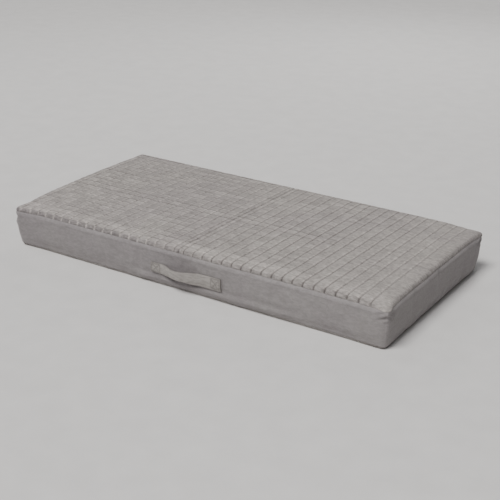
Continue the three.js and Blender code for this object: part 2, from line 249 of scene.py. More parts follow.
def settle(points):
    """Takes points on the cushion's ideal form to where they lie on the used, hand-filled one."""
    p = np.array(points, float)
    x, y, z = p.T.copy()
    height = np.clip(z / SEAM, 0, 1)
    upper = smoothstep(z, 40, TOP)
    at_left = smoothstep(-x, HALF_LENGTH - 26, HALF_LENGTH)
    at_front = smoothstep(-y, HALF_DEPTH - 30, HALF_DEPTH - 5)
    side = outward(x, y)

    # The foam swells out at the left end.
    swell = 12.5 * (1 - np.abs((y - 10) / 255) ** 2.6)
    p[:, 0] -= at_left * swell * (0.45 + 0.55 * smoothstep(z, 0, 60))

    # The top is crowned, and sinks towards its corners.
    p[:, 2] += upper * 2.0 * (1 - (x / HALF_LENGTH) ** 2) * (1 - (y / HALF_DEPTH) ** 2)
    for sign_x, sign_y, sink, rounding, square, tip in CORNERS:
        from_x = x - sign_x * HALF_LENGTH
        from_y = y - sign_y * HALF_DEPTH
        in_plan = np.hypot(from_x, from_y)
        p[:, 2] -= upper * sink * bell(in_plan, 0, 65)
        low_corner = rounding * bell(np.hypot(in_plan, z), 0, 27)
        p += low_corner[:, None] * (-0.8 * sign_x, -0.8 * sign_y, 0.4)
        reach = np.hypot(from_x + sign_x * 6, from_y + sign_y * 6)
        stand_out = tip * bell(z, SEAM, 8) * bell(reach, 0, 12)
        stand_out += square * bell(reach, 0, 24) * (0.35 + 0.65 * smoothstep(z, 0, 80))
        p[:, :2] += stand_out[:, None] * (sign_x * 0.7, sign_y * 0.7)
        # Small folds run away from the tip, under the seam.
        along = np.maximum(np.abs(from_x), np.abs(from_y))
        fold = np.sin((z + 0.6 * along) * (2 * math.pi / 14)) * bell(z, 78, 13) * bell(along, 11, 16)
        p[:, :2] += (0.5 * tip * fold)[:, None] * side

    # A small fold stands out below the front left corner.
    from_corner = np.hypot(x + HALF_LENGTH - 4, y + HALF_DEPTH - 4)
    p[:, 0] -= 2.6 * bell(from_corner, 0, 15) * bell(z, 62, 6)
    p[:, 0] += 1.8 * bell(from_corner, 0, 15) * bell(z, 74, 7)

    # The side panels belly out a little, less at the rear, where the zip holds them flat.
    belly = 2.6 * np.sin(math.pi * np.clip((z - BASE_SEAM) / (SEAM - BASE_SEAM), 0, 1)) ** 0.8
    at_rear = smoothstep(y, HALF_DEPTH - 30, HALF_DEPTH - 5)
    belly = belly * (1 - at_rear)
    lumps = 0.8 * smooth_noise(points, 70, 3) + 0.35 * smooth_noise(points, 26, 4)
    lumps = lumps * np.sin(math.pi * height) * (1 - at_rear)
    p[:, :2] += (belly + lumps)[:, None] * side

    # Along the front, the cover's slack lies in a soft fold over the lower edge, and the strap
    # draws the panel in above it.
    slack = at_front * smoothstep(x, -170, -110) * (1 - smoothstep(x, 250, 330))
    p[:, 1] -= slack * (3.2 * bell(z, 16, 6.5) - 2.0 * bell(z, 29, 7))
    p[:, 1] += at_front * 2.8 * bell(x, -5, 66) * bell(z, 71, 15)
    return p


def base_round(z):
    """How far the lower edge is rounded in at this height."""
    t = np.clip(1 - np.asarray(z, float) / BASE_ROLL, 0, 1)
    return BASE_ROLL * (1 - np.sqrt(1 - t * t))


# Each side: the direction it faces, and the direction along it, seen from outside left to right.
SIDES = {
    "front": ((0, -1), (1, 0)),
    "right": ((1, 0), (0, 1)),
    "rear": ((0, 1), (-1, 0)),
    "left": ((-1, 0), (0, -1)),
}


def side_length(side):
    half = HALF_LENGTH if SIDES[side][0][0] == 0 else HALF_DEPTH
    return 2 * (half - CORNER + CORNER * math.pi / 4)


def side_points(side, along, inset):
    """Plan points on one side, along from its middle, to halfway round each corner's curve."""
    facing, running = (np.array(v, float) for v in SIDES[side])
    half = HALF_LENGTH if facing[0] == 0 else HALF_DEPTH
    distance = HALF_DEPTH if facing[0] == 0 else HALF_LENGTH
    straight = half - CORNER
    angle = np.clip(np.abs(along) - straight, 0, None) / CORNER
    run = np.minimum(np.abs(along), straight) + (CORNER - inset) * np.sin(angle)
    out = distance - CORNER + (CORNER - inset) * np.cos(angle)
    return (np.sign(along) * run)[..., None] * running + out[..., None] * facing


def with_height(plan, z):
    return np.column_stack([plan, np.full(len(plan), float(z))])


def rectangle_border(across, deep):
    """The point numbers round the edge of a grid, anticlockwise from its first point."""
    return np.concatenate(
        [
            np.arange(across - 1),
            across * np.arange(1, deep) - 1,
            across * deep - 1 - np.arange(across - 1),
            across * np.arange(deep - 1, 0, -1),
        ]
    )


def blanket(columns, rows, steps):
    """Points and faces of a sheet over a rectangle, carried on in rings to the cover's outline.

    steps holds, for each ring, its share of the way out to the outline, how far it is drawn back in
    from there, its height and how far its surface has turned from level, all the way to 1.
    Returns the points, each point's outward direction and the faces."""
    half_x, half_y = columns[-1], rows[-1]
    x, y = (a.ravel() for a in np.meshgrid(columns, rows))
    across, deep = len(columns), len(rows)
    border = rectangle_border(across, deep)
    on_side = [across - 1, deep - 1, across - 1, deep - 1]
    sides = np.repeat(["front", "right", "rear", "left"], on_side)
    target = {inset: np.zeros((len(border), 2)) for inset in {step[1] for step in steps}}
    for side, (facing, running) in SIDES.items():
        here = sides == side
        half = half_x if facing[0] == 0 else half_y
        run = x[border][here] * running[0] + y[border][here] * running[1]
        stretch = side_length(side) / 2 - half
        along = run + np.sign(run) * stretch * np.clip((np.abs(run) - half + 50) / 50, 0, 1) ** 2
        for inset, place in target.items():
            place[here] = side_points(side, along, np.full(len(along), inset))
    start = np.column_stack([x, y])[border]
    points = [np.column_stack([x, y, np.full(len(x), steps[0][2])])]
    facing_out = [np.tile([0.0, 0.0, 1.0], (len(x), 1))]
    faces = grid_faces(deep, across)
    lower = border
    for number, (share, inset, height, turn) in enumerate(steps[1:]):
        plan = start + (target[inset] - start) * share
        points.append(with_height(plan, height))
        away = target[inset] - start
        away /= np.linalg.norm(away, axis=1, keepdims=True)
        angle = turn * math.pi / 2
        facing_out.append(with_height(away * math.sin(angle), math.cos(angle)))
        upper = len(x) + number * len(border) + np.arange(len(border))
        faces += ring_faces(upper, lower)
        lower = upper
    return np.concatenate(points), np.concatenate(facing_out), faces


def rolled(drop, level, count, tuck):
    """Ring steps for a rounded edge, squarer than a quarter circle, that then tucks in behind."""
    steps = [(0, 0.0, level, 0)]
    for i in range(1, count + 1):
        angle = i / count * math.pi / 2
        height = level - drop * (1 - abs(math.cos(angle)) ** 0.7)
        steps.append((math.sin(angle) ** 0.7, 0.0, height, i / count))
    for inset, down in tuck:
        steps.append((1, inset, level - drop - down, 1))
    return steps


# ---------- the slack in the cloth


def closed_slab(columns, rows, steps):
    """A blanket whose last ring is closed by a level sheet across the bottom, at height 0."""
    top, _, faces = blanket(columns, rows, steps)
    across, deep = len(columns), len(rows)
    base = with_height(top[: across * deep, :2], 0)
    border = rectangle_border(across, deep)
    ring = len(top) - len(border) + np.arange(len(border))
    faces += [face[::-1] for face in grid_faces(deep, across, len(top))]
    faces += ring_faces(len(top) + border, ring)
    return np.concatenate([top, base]), faces


def cloth_hold(points):
    """How firmly each point is held: at the base, the rear and the top's middle, less at the seam."""
    x, y, z = points.T
    inner = (np.abs(x) < HALF_LENGTH - 60) & (np.abs(y) < HALF_DEPTH - 60)
    hold = np.where(z < 0.5, 1.0, 0.0) + smoothstep(y, HALF_DEPTH - 12, HALF_DEPTH - 4)
    hold += np.where(inner & (z > SEAM), 1.0, 0.0)
    return np.clip(hold + 0.3 * bell(z, SEAM, 4), 0, 1)


CLOTH_FRAMES = 20
CLOTH_SETTINGS = {
    "quality": 6,
    "mass": 0.4,
    "tension_stiffness": 20,
    "compression_stiffness": 12,
    "shear_stiffness": 8,
    "bending_stiffness": 1.2,
    "use_pressure": True,
    "uniform_pressure_force": 4,
    "shrink_min": -0.012,
    "vertex_group_mass": "held",
    "pin_stiffness": 4,
}


def relaxed_cover():
    """Blows the whole cover up as cloth: a search tree of its points, and how far each moved."""
    columns = np.linspace(-HALF_LENGTH + ROLL_RUN, HALF_LENGTH - ROLL_RUN, 98)
    rows = np.linspace(-HALF_DEPTH + ROLL_RUN, HALF_DEPTH - ROLL_RUN, 47)
    steps = rolled(TOP - SEAM, TOP, 2, [])
    for z in np.linspace(SEAM - 9, BASE_ROLL, 9):
        steps.append((1, 0.0, z, 1))
    ideal, faces = closed_slab(columns, rows, steps)
    start = settle(ideal)
    piece = make_mesh("cover_cloth", start, faces, bpy.data.materials.new("cloth_only"))
    held = piece.vertex_groups.new(name="held")
    hold = cloth_hold(ideal)
    for level in range(1, 11):
        chosen = np.nonzero(np.round(hold * 10) == level)[0]
        held.add(chosen.tolist(), level / 10, "REPLACE")
    cloth = piece.modifiers.new("Cloth", "CLOTH")
    for setting, value in CLOTH_SETTINGS.items():
        setattr(cloth.settings, setting, value)
    cloth.settings.effector_weights.gravity = 0
    cloth.point_cache.frame_start = 1
    cloth.point_cache.frame_end = CLOTH_FRAMES
    for number in range(1, CLOTH_FRAMES + 1):
        bpy.context.scene.frame_set(number)
    moved_piece = piece.evaluated_get(bpy.context.evaluated_depsgraph_get())
    moved = vertices_of(moved_piece) - start
    bpy.context.scene.frame_set(1)
    bpy.data.objects.remove(piece)
    size = np.linalg.norm(moved, axis=1, keepdims=True)
    moved *= np.minimum(1, SLACK_CAP / np.maximum(size, 1e-6))
    tree = KDTree(len(start))
    for number, point in enumerate(start):
        tree.insert(point, number)
    tree.balance()
    return tree, moved


def with_slack(points):
    """Adds the simulated cloth's movement to points that already lie on the settled form.

    The quilted top is several layers sewn flat, and the lower edge rests on the ground, so both
    take up only part of it."""
    if RELAXED is None:
        return points
    tree, moved = RELAXED
    result = np.array(points, float)
    share = (1 - 0.7 * smoothstep(result[:, 2], SEAM - 6, TOP)) * smoothstep(result[:, 2], -12, 16)
    for number, point in enumerate(points):
        near = tree.find_n(point, 6)
        weight = np.array([math.exp(-((distance / SLACK_REACH) ** 2)) for _, _, distance in near])
        step = weight @ moved[[index for _, index, _ in near]] / (weight.sum() + 1e-9)
        result[number] += share[number] * step
    return result


RELAXED = relaxed_cover()


def shaped(points):
    return with_slack(settle(points))


# ---------- materials


class Surface:
    """A Principled material with helpers for the few kinds of node that the surfaces share."""

    def __init__(self, name, laid_out=None, **constants):
        self.material = bpy.data.materials.new(name)
        self.material.use_nodes = True
        self.tree = self.material.node_tree
        self.shader = self.tree.nodes["Principled BSDF"]
        self.set(self.shader, **constants)
        self.place = self.node("TexCoord").outputs["Object"]
        if laid_out:
            # The piece bends, so its pattern follows the places it was laid out with.
            self.place = self.attribute(laid_out).outputs["Vector"]

    def set(self, node, **inputs):
        """Links each named input to a socket, or sets it to a constant."""
        for name, value in inputs.items():
            entry = node.inputs[name.replace("_", " ")]
            if isinstance(value, bpy.types.NodeSocket):
                self.tree.links.new(value, entry)
            else:
                entry.default_value = value

    def node(self, kind, **inputs):
        node = self.tree.nodes.new("ShaderNode" + kind)
        self.set(node, **inputs)
        return node

    def attribute(self, name):
        """The node that reads what is kept under a name at the piece's points."""
        node = self.node("Attribute")
        node.attribute_name = name
        return node

    def noise(self, size, detail=2.0, stretch=(1, 1, 1), distortion=0.0):
        """Noise in lumps about size millimetres across."""
        place = self.node("Mapping", Scale=stretch, Vector=self.place).outputs["Vector"]
        node = self.node("TexNoise", Scale=1 / (size * MM), Detail=detail, Vector=place)
        self.set(node, Distortion=distortion)
        return node.outputs["Fac"]

    def threads(self, axis, size, distortion=0.4):
        """Parallel threads, size millimetres apart along an axis."""
        node = self.node("TexWave", Scale=0.314 / (size * MM), Detail=1.0, Vector=self.place)
        node.bands_direction = axis
        self.set(node, Distortion=distortion)
        return node.outputs["Fac"]

    def ramp(self, value, low, high, start, end):
        node = self.node("ValToRGB", Fac=value)
        first, last = node.color_ramp.elements
        first.position, first.color = low, start
        last.position, last.color = high, end
        return node.outputs["Color"]

    def product(self, color, *factors):
        for factor in factors:
            node = self.node("Mix")
            node.data_type = "RGBA"
            node.blend_type = "MULTIPLY"
            self.set(node, Factor=1.0, A=color, B=factor)
            color = node.outputs["Result"]
        return color

    def color(self, socket):
        self.set(self.shader, Base_Color=socket)

    def tinted(self, socket, shades):
        """The colour, times a factor for each point value: its name and its factors at 0 and 1."""
        for name, low, high in shades:
            factor = self.ramp(self.attribute(name).outputs["Fac"], 0, 1, low, high)
            socket = self.product(socket, factor)
        self.color(socket)

    def roughness(self, socket, low, high):
        node = self.node("MapRange", Value=socket, To_Min=low, To_Max=high)
        self.set(self.shader, Roughness=node.outputs["Result"])

    def bumps(self, *layers):
        """Bump layers as (height socket, depth in millimetres), each on top of the last."""
        normal = None
        for height, depth in layers:
            node = self.node("Bump", Height=height, Distance=depth * MM)
            if normal:
                self.set(node, Normal=normal)
            normal = node.outputs["Normal"]
        self.set(self.shader, Normal=normal)


WHITE = (1, 1, 1, 1)


def shade(color, factor):
    return tuple(min(1.0, channel * factor) for channel in color) + (1,)


def gray(level):
    return (level, level, level, 1)


def suede(name, color, streak, contrast, grain, relief, shades=()):
    """Brushed microsuede: fine fuzz, strokes of the nap that catch the light, and broad wear.

    contrast is the strokes' strength, grain the small tufts' and relief the bumps'. shades holds
    point values' names, each with the colour factors that it brings in at 0 and 1."""
    surface = Surface(name, Roughness=0.92, Specular_IOR_Level=0.2, Sheen_Weight=0.25)
    surface.set(surface.shader, Sheen_Roughness=0.45, Sheen_Tint=(1.0, 0.96, 0.95, 1))
    fuzz = surface.noise(0.7, 3)
    tufts = surface.noise(3.6, 3, (0.4, 1.0, 0.8), 0.5)
    strokes = surface.noise(13, 3, streak, 0.6)
    patches = surface.noise(42, 2, (1, 1.4, 1), 0.4)
    wear = surface.noise(190, 1)
    spread = 0.10 * contrast
    ground = surface.ramp(
        strokes, 0.36, 0.64, shade(color, 1 - spread), shade(color, 1 + spread)
    )
    nap = surface.ramp(patches, 0.35, 0.65, shade((1, 0.99, 1), 1 - 0.07 * contrast), WHITE)
    broad = surface.ramp(wear, 0.4, 0.6, shade((0.99, 0.98, 1), 0.96), WHITE)
    tufted = surface.ramp(tufts, 0.36, 0.64, gray(1 - 0.13 * grain), gray(1 + 0.07 * grain))
    speck = surface.ramp(fuzz, 0.3, 0.7, gray(0.86), WHITE)
    surface.tinted(surface.product(ground, nap, broad, tufted, speck), shades)
    surface.roughness(strokes, 0.84, 0.97)
    surface.bumps(
        (patches, 0.9 * relief), (strokes, 0.35 * relief), (tufts, 0.25 * grain), (fuzz, 0.16)
    )
    return surface.material


def twill(name, color, axis, size, depth=0.12, roughness=0.8, shades=(), laid_out=None):
    """Woven tape or webbing, its threads across one axis and finer ones the other way."""
    surface = Surface(name, laid_out, Roughness=roughness, Sheen_Weight=0.12)
    across = surface.threads(axis, size)
    along = surface.threads("Z" if axis != "Z" else "X", size * 0.8, 0.8)
    uneven = surface.noise(5, 3, (0.35, 1, 1))
    ground = surface.ramp(across, 0.1, 0.9, shade(color, 0.78), shade(color, 1.1))
    faded = surface.ramp(uneven, 0.36, 0.64, gray(0.80), gray(1.06))
    surface.tinted(surface.product(ground, faded), shades)
    surface.roughness(uneven, roughness - 0.08, roughness + 0.08)
    surface.bumps((across, depth), (along, depth * 0.6))
    return surface.material


def spun(name, color):
    """Sewing thread: a soft twist along each stitch."""
    surface = Surface(name, Roughness=0.62, Sheen_Weight=0.2)
    twist = surface.noise(0.5, 2, (1, 1, 1), 1.2)
    ground = surface.ramp(twist, 0.3, 0.7, shade(color, 0.8), shade(color, 1.12))
    surface.color(ground)
    surface.roughness(twist, 0.5, 0.72)
    surface.bumps((twist, 0.05))
    return surface.material


def nylon(name, color):
    surface = Surface(name, Roughness=0.4)
    scuffs = surface.noise(2.4, 3)
    surface.color(surface.ramp(scuffs, 0.3, 0.7, shade(color, 0.85), shade(color, 1.15)))
    surface.roughness(scuffs, 0.32, 0.5)
    surface.bumps((scuffs, 0.03))
    return surface.material


def worn_metal(name, color):
    """Plated zinc with fine rubbing marks along its length."""
    surface = Surface(name, Roughness=0.34, Metallic=1.0)
    rubbing_and_highlight = surface.noise(1.6, 3, (0.2, 1, 1))
    dulled = surface.noise(5, 2)
    surface.color(surface.ramp(dulled, 0.35, 0.7, shade(color, 0.72), shade(color, 1.1)))
    surface.roughness(rubbing_and_highlight, 0.26, 0.46)
    surface.bumps((rubbing_and_highlight, 0.02))
    return surface.material


def sponge(name, color):
    """Open-celled foam, with painted shade in its pores."""
    surface = Surface(name, Roughness=0.95)
    pores = surface.noise(1.1, 2)
    surface.color(surface.ramp(pores, 0.35, 0.6, shade(color, 0.7), shade(color, 1.0)))
    surface.roughness(pores, 0.9, 1.0)
    surface.bumps((pores, 0.4))
    return surface.material


def satin_ribbon(name, color):
    surface = Surface(name, Roughness=0.5, Sheen_Weight=0.15)
    weave = surface.threads("X", 0.35, 0.2)
    yellowed = surface.noise(11, 2)
    ground = surface.ramp(yellowed, 0.3, 0.7, shade(color, 0.92), shade(color, 1.0))
    thread = surface.ramp(weave, 0.1, 0.9, (0.93, 0.93, 0.92, 1), WHITE)
    surface.color(surface.product(ground, thread))
    surface.roughness(weave, 0.4, 0.58)
    surface.bumps((weave, 0.04))
    return surface.material


SUEDE = (0.350, 0.326, 0.306)
# Factors on the quilt's colour: painted shade in the creases and on the rolled edge (lip), painted
# highlights on the crests, and each cell's tone with painted shade towards the far left.
QUILT_SHADES = (
    ("crease_shade", WHITE, (0.40, 0.39, 0.39, 1)),
    ("crest_highlight", WHITE, (1.46, 1.46, 1.45, 1)),
    ("tone", gray(0.90), gray(1.10)),
    ("lip", WHITE, (0.64, 0.635, 0.665, 1)),
)
# Painted light: the top and the side panels are one suede, its colour made lighter on the top and
# darker on the sides to match how each face is lit.
LIT_QUILT_COLOR = shade(SUEDE, 1.14)[:3]
QUILT_SUEDE = suede("quilt_suede", LIT_QUILT_COLOR, (0.28, 1.0, 1.0), 1.0, 2.0, 1.0, QUILT_SHADES)
# Painted shade: the side panels' suede, darker than the top's for their dimmer light.
SHADED_SIDE_COLOR = (0.294, 0.277, 0.273)
# Factors on the side panels' colour: painted shade and painted highlights.
SIDE_SHADES = (
    ("shadowed", WHITE, (0.72, 0.71, 0.72, 1)),
    ("rubbing_and_highlight", WHITE, (1.24, 1.23, 1.25, 1)),
)
SIDE_SUEDE = suede("side_suede", SHADED_SIDE_COLOR, (0.3, 0.3, 1.2), 0.5, 0.8, 0.4, SIDE_SHADES)
BASE_SUEDE = suede("base_suede", shade(SUEDE, 0.95)[:3], (0.5, 1.0, 1.0), 0.8, 0.8, 0.6)
# Painted shade around the strap's stitching and along its rims.
STRAP_SHADES = (("crease_shade", WHITE, (0.55, 0.54, 0.54, 1)),)
STRAP_COLOR = shade(SUEDE, 1.08)[:3]
STRAP_WEB = twill("strap_web", STRAP_COLOR, "Z", 1.5, 0.18, 0.88, STRAP_SHADES, "laid_out")
THREAD = spun("sewing_thread", (0.36, 0.34, 0.325))
LINING = twill("lining_weave", (0.42, 0.41, 0.40), "X", 0.7)
TAPE = twill("zip_tape_weave", (0.2, 0.19, 0.18), "X", 0.8)
COIL = nylon("zip_nylon", (0.16, 0.15, 0.145))
METAL = worn_metal("zip_metal", (0.5, 0.5, 0.51))
FOAM = sponge("foam_cells", (0.76, 0.7, 0.52))
RIBBON = satin_ribbon("label_satin", (0.82, 0.81, 0.78))


# ---------- the quilted top


def clustered(lines, low, high, count):
    """Grid positions with one on every line, about count to a cell and closer near the lines."""
    marks = [low] + [line for line in lines if low + 1 < line < high - 1] + [high]
    result = [low]
    for first, last in zip(marks, marks[1:]):
        steps = max(3, round(count * (last - first) / PITCH_X))
        t = np.arange(1, steps + 1) / steps
        eased = 0.15 * t + 0.85 * (1 - np.cos(math.pi * t)) / 2
        result += list(first + (last - first) * eased)
    return np.array(result)


LONG_LINES = [FIRST_X + PITCH_X * k for k in range(COUNT_X)]
PINCH_LINE = FIRST_X + PITCH_X * (PINCHED_AFTER + 0.5)
CROSS_LINES = [FIRST_Y + PITCH_Y * k for k in range(COUNT_Y)]
STRONG_CROSS = (8, 9)


def leaning(x, y):
    """How far the long lines have moved over at this point: not at all at the ends."""
    return LEAN * y * (1 - np.abs(x / HALF_LENGTH) ** 8)


def nearest(values, lines):
    """How far each value is past its nearest line, and that line's number."""
    gaps = np.asarray(values)[:, None] - np.asarray(lines)[None, :]
    number = np.abs(gaps).argmin(axis=1)
    return gaps[np.arange(len(gaps)), number], number


def pillow(distance, half):
    """0 on a line of stitches, rising quickly to 1 between lines."""
    t = np.clip(distance / half, 0, 1)
    return 1 - (1 - t) ** 5.5


def quilt_marks(points):
    """How each point of the top lies to the lines of stitches and the edges, before they lean."""
    x, y, _ = points.T
    marks = SimpleNamespace()
    marks.wobble = 0.45 * smooth_noise(points, 60, 21) + 0.25 * smooth_noise(points, 17, 22)
    marks.past_long, marks.long_line = nearest(x + marks.wobble, LONG_LINES)
    marks.to_pinch = np.abs(x + marks.wobble - PINCH_LINE)
    cross_place = y + 0.6 * smooth_noise(points, 50, 25)
    marks.past_cross, marks.cross_line = nearest(cross_place, CROSS_LINES)
    marks.strong = np.isin(marks.cross_line, STRONG_CROSS)
    marks.inside = smoothstep(HALF_DEPTH - np.abs(y), 8, 15)
    marks.over_edge = 1 - smoothstep(HALF_DEPTH - np.abs(y), 4, 18)
    marks.fades = 1 - 0.7 * smoothstep(x, 100, 400)
    return marks


def quilt_relief(points, marks):
    """How far the padding lies from the smooth form: it is drawn in at every line of stitches."""
    _, y, z = points.T
    rng_x = np.random.default_rng(11).uniform(0.82, 1.12, COUNT_X)
    rng_y = np.random.default_rng(12).uniform(0.7, 1.1, COUNT_Y)
    to_long = np.abs(marks.past_long)
    depth = LONG_DEPTH * rng_x[marks.long_line] * (1 + 0.35 * smooth_noise(points, 48, 23))
    flatter = 1 - 0.65 * smoothstep(y, HALF_DEPTH - 60, HALF_DEPTH - 5)
    puff = flatter * depth * (pillow(to_long, PITCH_X / 2) - 1)
    puff -= 0.8 * flatter * bell(to_long, 0, 1.5)
    puff -= PINCH_DEPTH * np.clip(1 - marks.to_pinch / (PITCH_X / 4), 0, 1) ** 3
    puff -= 0.5 * bell(marks.to_pinch, 0, 7) * (0.5 + 1.2 * smooth_noise(points, 6, 24))

    depth = np.where(marks.strong, STRONG_DEPTH, CROSS_DEPTH * marks.fades)
    depth = depth * rng_y[marks.cross_line] * marks.inside
    depth = depth * (1 + 0.5 * smooth_noise(points, 55, 26))
    puff += depth * (pillow(np.abs(marks.past_cross), PITCH_Y / 2) - 1)

    # The quilting gathers the cloth along each line, and over the rolled edge.
    puff += 0.6 * marks.over_edge * flatter * (pillow(to_long, PITCH_X / 2) - 0.5)
    gathers = smooth_noise(points * (1, 1.6, 1), 5.5, 27) * bell(to_long, 3, 4)
    puff += 0.28 * gathers + 0.3 * smooth_noise(points, 14, 28)
    return puff * np.clip((z - SEAM) / 3 + 0.6, 0, 1)


def cell_tones(points, marks):
    """The nap lies a little differently in each cell: from -1, dull, to 1, bright."""
    cell_x = np.floor((points[:, 0] + marks.wobble - FIRST_X) / PITCH_X).astype(int)
    cell_y = np.floor((points[:, 1] - FIRST_Y) / PITCH_Y).astype(int)
    tones = np.random.default_rng(13).uniform(-1, 1, (COUNT_X + 4, COUNT_Y + 4))
    return tones[np.clip(cell_x, -2, COUNT_X + 1), np.clip(cell_y, -2, COUNT_Y + 1)]


def shade_quilt(top, points, marks):
    """Painted shade in the stitches' creases, and painted highlights on the crests and edges."""
    x, y, z = points.T
    patchy = 0.75 + 0.5 * smooth_noise(points, 80, 29)
    puckers = smooth_noise(points * (1, 1.3, 1), 4.0, 30)
    at_left = smoothstep(-x, -60, 220)
    on_flat = 1 - marks.over_edge
    lip = smoothstep(-z, 0.2 - TOP, 2.2 - TOP)
    at_tip = bell(np.hypot(x - HALF_LENGTH, y + HALF_DEPTH), 0, 24)

    # Painted shade in the creases along the long, pinched and cross lines, and in the puckers.
    firmness = 1 - 0.45 * at_left * on_flat + 0.25 * smoothstep(x, 0, 200)
    firmness -= 0.5 * on_flat * smoothstep(x, 320, 470)
    crease_shade = bell(marks.past_long, 0.3, 1.3) * (0.8 + 0.45 * marks.over_edge) * firmness
    crease_shade *= 1 - 0.9 * at_left * lip
    crease_shade += 0.95 * bell(marks.to_pinch, 0, 1.3)
    firm = np.where(marks.strong, 0.75, 0.6 * patchy) * (1 + 0.35 * at_left) * marks.fades
    crease_shade += bell(marks.past_cross, 0, 1.7) * marks.inside * firm
    crease_shade += 0.4 * bell(marks.to_pinch, 0, 8) * np.clip(1.6 * puckers, 0, 1)
    add_shade(top, "crease_shade", crease_shade)

    # Painted highlights beside the lines of stitches, in lines on the left's rolled edge, on the
    # puckers and along the front edge.
    crest_highlight = bell(marks.past_long, -3.0, 1.9) * (0.65 + 0.3 * marks.over_edge) * (1 - lip)
    lip_highlight = bell(marks.past_long + 2.6 * (1 - at_left), 0.3, 1.6)
    lip_highlight = lip_highlight * smoothstep(-x, -150, 120) * lip
    crest_highlight += 1.5 * lip_highlight
    crest_highlight += 0.9 * bell(marks.to_pinch, 0, 9) * np.clip(-1.6 * puckers, 0, 1)
    crest_highlight += 0.6 * bell(y, 26 - HALF_DEPTH, 17) * (0.75 + 0.5 * smooth_noise(points, 30, 32))
    bright = 0.55 * patchy * marks.fades * (1 + 0.6 * at_left)
    crest_highlight += bell(marks.past_cross, -3.4, 2.2) * marks.inside * bright
    # A painted highlight on the seam's edge at the front right tip.
    crest_highlight += 1.2 * at_tip * smoothstep(-z, -5 - SEAM, -1 - SEAM)
    add_shade(top, "crest_highlight", crest_highlight)

    # Painted shade towards the far left of the top, which lies further from the light, taken off each
    # cell's own tone.
    far_left_shade = 0.45 * bell(np.hypot(x + 380, 1.6 * (y - 180)), 0, 300)
    tone = cell_tones(points, marks) * marks.inside * marks.fades
    add_shade(top, "tone", 0.5 + 0.5 * tone - far_left_shade)
    # Painted shade on the rolled edge, which turns away from the light, less at the front right tip
    # and none on the painted highlight lines.
    lip_shade = lip * (0.5 + 0.5 * at_left) * (0.85 + 0.3 * smooth_noise(points, 9, 33))
    add_shade(top, "lip", lip_shade * (1 - at_tip) - lip_highlight)


def quilted_top():
    columns = clustered(
        sorted(LONG_LINES + [PINCH_LINE]), ROLL_RUN - HALF_LENGTH, HALF_LENGTH - ROLL_RUN, 9
    )
    rows = clustered(CROSS_LINES, ROLL_RUN - HALF_DEPTH, HALF_DEPTH - ROLL_RUN, 5)
    steps = rolled(TOP - SEAM, TOP, 11, [(0.5, 0.9), (1.8, 1.2)])
    points, facing, faces = blanket(columns, rows, steps)
    marks = quilt_marks(points)
    puff = quilt_relief(points, marks)
    points[:, 0] += leaning(points[:, 0], points[:, 1])
    facing /= np.linalg.norm(facing, axis=1, keepdims=True)
    placed = shaped(points) + facing * puff[:, None]
    top = make_mesh("quilted_top", placed, faces, QUILT_SUEDE)
    shade_quilt(top, points, marks)
    thicken(top, QUILT_THICK)
    return top


# ---------- side panels and base


def panel_inset(z):
    """How far a side panel's face lies behind the outline at this height."""
    allowance = 0.9 * smoothstep(z, ALLOWANCE_EDGE, ALLOWANCE_EDGE + 2)
    seam = 2.0 * bell(z, SEAM, 2.0) + 1.1 * bell(z, BASE_SEAM, 1.8)
    return base_round(z) + 0.45 - allowance + seam


def panel(name, side, heights, turned, span=(-1, 1), spacing=4.0, behind=0.0):
    """One side's cloth between two heights, its edges turned in behind by the given amounts.

    span is the stretch that it covers, in shares of the way from the middle to either corner."""
    low, high = (share * side_length(side) / 2 for share in span)
    along = np.linspace(low, high, int((high - low) / spacing) + 1)
    fold = 0.7
    profile = [(panel_inset(heights[0]) + turned[0], heights[0] + fold)]
    profile += [(float(panel_inset(z)), float(z)) for z in heights]
    profile += [(panel_inset(heights[-1]) + turned[1], heights[-1] - fold)]
    points = []
    for inset, z in profile:
        insets = np.full(len(along), inset + behind)
        points.append(with_height(side_points(side, along, insets), z))
    faces = grid_faces(len(profile), len(along))
    points = np.concatenate(points)
    piece = make_mesh(name, shaped(points), faces, SIDE_SUEDE)
    shade_panel(piece, side, points, np.tile(side_length(side) / 2 - np.abs(along), len(profile)))
    sharpen_rim(piece)
    thicken(piece, CLOTH_THICK)
    return piece


def shade_panel(piece, side, points, from_corner):
    """Painted shade in folds and by the strap, with handling marks, and painted highlights."""
    z = points[:, 2] + 0.9 * smooth_noise(points, 30, 44)
    # A painted shadow line under the seam allowance's ridge.
    shadowed = 0.4 * bell(z, ALLOWANCE_EDGE, 1.5)
    if side == "front":
        # A darker patch above the strap: painted shade over the dent that the strap draws in, with
        # handling marks.
        above_strap = bell(points[:, 0], STRAP_CENTRE, 85) * bell(z, 66, 16)
        shadowed += 0.75 * above_strap * (0.75 + 0.5 * smooth_noise(points, 11, 43))
        # Painted shadows beside the strap's right end and under its lower edge.
        beside = bell(points[:, 0], SEWN_HIGH[0] + 2.5, 3) * bell(z, SEWN_LOW[2] + 14, 16)
        under = bell(z, SEWN_LOW[2] - 3, 5) * bell(points[:, 0], STRAP_CENTRE + 15, 75)
        shadowed += beside + 0.6 * under
    # Painted highlights on the seam allowance's ridge, along the hem and on the corner edges.
    rubbing_and_highlight = 0.3 * smoothstep(z, ALLOWANCE_EDGE + 1, ALLOWANCE_EDGE + 3.5) + 0.3 * bell(z, 8, 3)
    rubbing_and_highlight += 0.9 * bell(from_corner, 0, 3) * (0.6 + 0.5 * smooth_noise(points, 7, 45))
    add_shade(piece, "shadowed", shadowed)
    add_shade(piece, "rubbing_and_highlight", rubbing_and_highlight)


def spaced(low, high, step):
    """Heights from low to high, closer together near both."""
    count = max(3, round((high - low) / step))
    t = np.linspace(0, 1, count + 1)
    eased = 0.5 * t + 0.5 * (1 - np.cos(math.pi * t)) / 2
    return low + (high - low) * eased


